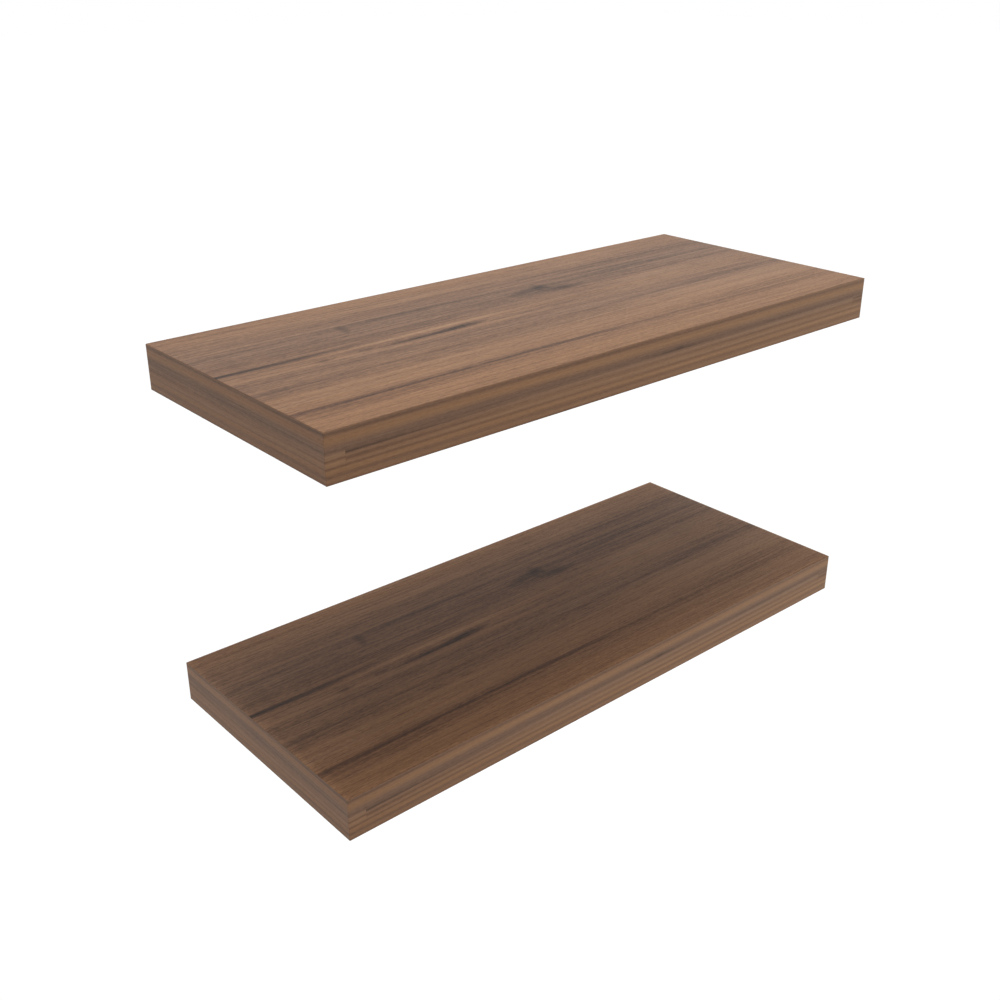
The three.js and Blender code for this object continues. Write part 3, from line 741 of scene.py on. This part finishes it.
def screw_profile(form):
    """Radius and distance from the head's top, by row and column. The recess is the union of two slots:
    at each turn the larger of their radii. The crown falls with the cube of the radius. Thread rows lean
    by one pitch a turn, so that each row runs into the one a pitch further on."""
    turn = screw_turns()
    cosine = np.maximum(np.abs(np.cos(turn)), 1e-9)
    sine = np.maximum(np.abs(np.sin(turn)), 1e-9)
    cross = np.maximum(np.minimum(1 / cosine, recess_share / sine),
                       np.minimum(recess_share / cosine, 1 / sine))
    head = form["head_radius"]
    slots = np.array(recess_steps)
    slot_radius = recess_arm * slots[:, :1] * cross
    crown_radius = np.linspace(crown_start_share * recess_arm, head, crown_rows)[:, None]
    top_radius = np.concatenate([slot_radius, crown_radius * np.ones_like(turn)])
    sunk = np.concatenate([slots[:, 1:], np.zeros((crown_rows, 1))])
    top_distance = sunk + form["crown"] * (top_radius / head) ** 3
    rings = np.array([(head, form["rim"]), (shank_radius, form["neck"]),
                      (shank_radius, form["thread_from"] - thread_run_out),
                      (root_radius, form["thread_from"])])
    pointed = form["end_radius"] == 0
    thread_to = form["length"] - (0.0 if pointed else form["tip"])
    turns = np.ceil((thread_to - form["thread_from"]) / thread_pitch) + 1
    row = np.arange(int(turns) * pitch_rows + 1)[:, None] / pitch_rows
    along = form["thread_from"] + thread_pitch * (row - 1 + turn / (2 * np.pi))
    along = np.clip(along, form["thread_from"], thread_to)
    ridge = np.maximum(0, 1 - np.abs(row % 1 - 0.5) / crest_share)
    fade = np.clip((along - form["thread_from"]) / thread_pitch, 0, 1)
    fade = fade * np.clip((thread_to - along) / thread_pitch, 0, 1)
    taper = np.clip((form["length"] - along) / form["tip"], 0, 1) if pointed else 1.0
    thread_radius = (root_radius + (crest_radius - root_radius) * ridge * fade) * taper
    closing = np.array([(form["end_radius"], form["length"]), (0, form["length"])])
    radius = np.concatenate([top_radius, rings[:, :1] * np.ones_like(turn), thread_radius,
                             closing[:, :1] * np.ones_like(turn)])
    distance = np.concatenate([top_distance, rings[:, 1:] * np.ones_like(turn), along,
                               closing[:, 1:] * np.ones_like(turn)])
    return radius, distance, turn


def zinc_plate(name):
    """Bright zinc plate: a blue-white metal, a little cloudy, with fine rolling marks."""
    made, tree = new_material(name)
    point = board_point(tree)
    cloud = add(tree, "ShaderNodeTexNoise", "cloudy plate", {},
                {"Vector": point, "Scale": 0.8, "Detail": 3.0, "Roughness": 0.6})[0]
    colour = add(tree, "ShaderNodeValToRGB", "blue-white zinc",
                 {"stops": [(0.3, linear("#aab0b4")), (0.55, linear("#bcc1c3")), (0.8, linear("#c9c8c0"))]},
                 {0: cloud})[0]
    rough = add(tree, "ShaderNodeMapRange", "bright to dull", {},
                {"Value": cloud, "From Min": 0.3, "From Max": 0.7, "To Min": 0.24, "To Max": 0.4})[0]
    shader = add(tree, "ShaderNodeBsdfPrincipled", "zinc", {},
                 {"Base Color": colour, "Metallic": 1.0, "Roughness": rough})[0]
    add(tree, "ShaderNodeOutputMaterial", "out", {}, {"Surface": shader})
    return made


zinc = zinc_plate("zinc plated steel")
for shelf, height in shelf_heights.items():
    radius, distance, turn = screw_profile(wall_screw)
    for number, x in enumerate(wall_screw_places, 1):
        grid = turned_points((x, wall_screw_start, height), (0, 1, 0), (1, 0, 0), radius, distance, turn)
        screw = grid_piece(f"{shelf}_pan_screw_{number}", grid, zinc)
        stand_for(screw, "wall_brackets", "zinc_steel", f"{shelf}_wall_screw_{number}")
    radius, distance, turn = screw_profile(lock_screw)
    for hand, x in rod_places.items():
        start = (x, -lock_screw_inset, height + lock_screw_start)
        grid = turned_points(start, (0, 0, 1), (1, 0, 0), radius, distance, turn)
        screw = grid_piece(f"{shelf}_{hand}_countersunk_screw", grid, zinc)
        stand_for(screw, shelf + "_board", "zinc_steel", f"{shelf}_{hand}_lock_screw")


# The wall plugs. Grey nylon tubes, injection moulded, slit crosswise from the far end so that the screw
# spreads them, with saw-tooth ribs that bite into the wall.

plug_mouth = 3.0  # behind the wall's face
plug_length = 20.0
plug_radius = 3.0
plug_bore_radius = 2.25
plug_slit = 0.8
plug_slit_from = 7.0  # from the mouth
plug_rib_pitch = 1.6
plug_rib_depth = 0.32
plug_rib_share = 0.92  # a rib's slope over the pitch; the rest is its step
ribs_before_slit = 3
plug_nose = 1.6
plug_nose_fall = 0.35
plug_lip = 0.3
plug_lip_fall = 0.25
leg_steps = 6


def plug_solid(x, z):
    """An outer and an inner skin over rows along the tube and four legs of columns round it. A leg runs
    from slit edge to slit edge, each half a slit from the quarter line: arcsine of that over the radius.
    The outer radius falls by a saw tooth, by the nose's taper at the far end, and at the lip."""
    nose_from = plug_length - plug_nose
    ribbed = np.arange(plug_slit_from - ribs_before_slit * plug_rib_pitch, nose_from, plug_rib_pitch)
    along = np.unique(np.concatenate([[0.0, plug_lip, plug_slit_from, nose_from, plug_length],
                                      ribbed, ribbed + plug_rib_share * plug_rib_pitch]))
    along = along[along <= plug_length]
    tooth = plug_rib_depth * (((along - ribbed[0]) / plug_rib_pitch + 1e-6) % 1)
    tooth = np.where((along < ribbed[0]) | (along > nose_from), 0, tooth)
    nose = plug_nose_fall * np.clip((along - nose_from) / plug_nose, 0, 1)
    lip = plug_lip_fall * (along == 0)
    skins = (plug_radius - tooth - nose - lip, np.full(along.shape, plug_bore_radius))
    share = np.tile(np.linspace(0, 1, leg_steps + 1), 4)[None]
    quarter = np.repeat(np.arange(4), leg_steps + 1)[None]
    points = []
    for skin in skins:
        edge = np.arcsin(plug_slit / 2 / skin)[:, None]
        turn = np.pi / 2 * quarter + edge + share * (np.pi / 2 - 2 * edge)
        radius = skin[:, None] * np.ones_like(turn)
        distance = along[:, None] * np.ones_like(turn)
        points.append(turned_points((x, plug_mouth, z), (0, 1, 0), (1, 0, 0), radius, distance, turn))
    rows, columns = points[0].shape[:2]
    outer = np.arange(rows * columns).reshape(rows, columns)
    inner = outer + rows * columns
    after = np.roll(np.arange(columns), -1)
    slit_column = np.arange(columns) % (leg_steps + 1) == leg_steps
    first_slit_row = int(np.argmax(along >= plug_slit_from))
    in_slit = slit_column[None] & (np.arange(rows - 1)[:, None] >= first_slit_row)
    faces = []
    for skin in (outer, inner):
        cells = np.stack([skin[:-1], skin[:-1][:, after], skin[1:][:, after], skin[1:]], -1)
        faces.append(cells[~in_slit])
    all_columns = np.ones(columns, bool)
    for row, closed in ((0, all_columns), (first_slit_row, slit_column), (-1, ~slit_column)):
        here, beside = np.flatnonzero(closed), after[closed]
        faces.append(np.stack([outer[row][here], outer[row][beside], inner[row][beside],
                               inner[row][here]], -1))
    ends = np.flatnonzero(slit_column)
    for walls in (ends, after[ends]):
        low, high = outer[first_slit_row:-1][:, walls], outer[first_slit_row + 1:][:, walls]
        low_in, high_in = inner[first_slit_row:-1][:, walls], inner[first_slit_row + 1:][:, walls]
        faces.append(np.stack([low, high, high_in, low_in], -1).reshape(-1, 4))
    return np.concatenate(points).reshape(-1, 3), np.concatenate(faces)


def moulded_nylon(name):
    """Grey injection-moulded nylon: evenly coloured, satin, with the fine spark texture of its mould."""
    made, tree = new_material(name)
    point = board_point(tree)
    spark = add(tree, "ShaderNodeTexNoise", "mould texture", {},
                {"Vector": point, "Scale": 3.0, "Detail": 2.0, "Roughness": 0.6})[0]
    colour = add(tree, "ShaderNodeValToRGB", "grey nylon",
                 {"stops": [(0.3, linear("#84878b")), (0.7, linear("#95989c"))]}, {0: spark})[0]
    normal = add(tree, "ShaderNodeBump", "spark texture", {},
                 {"Strength": 0.3, "Distance": 0.00005, "Height": spark})[0]
    shader = add(tree, "ShaderNodeBsdfPrincipled", "nylon", {},
                 {"Base Color": colour, "Roughness": 0.48, "Normal": normal, "IOR": 1.53})[0]
    add(tree, "ShaderNodeOutputMaterial", "out", {}, {"Surface": shader})
    return made


nylon = moulded_nylon("moulded grey nylon")
for shelf, height in shelf_heights.items():
    for number, x in enumerate(wall_screw_places, 1):
        points, faces = plug_solid(x, height)
        plug = solid_piece(f"{shelf}_ribbed_plug_{number}", points, faces, nylon)
        stand_for(plug, "wall_brackets", "grey_nylon", f"{shelf}_wall_plug_{number}")
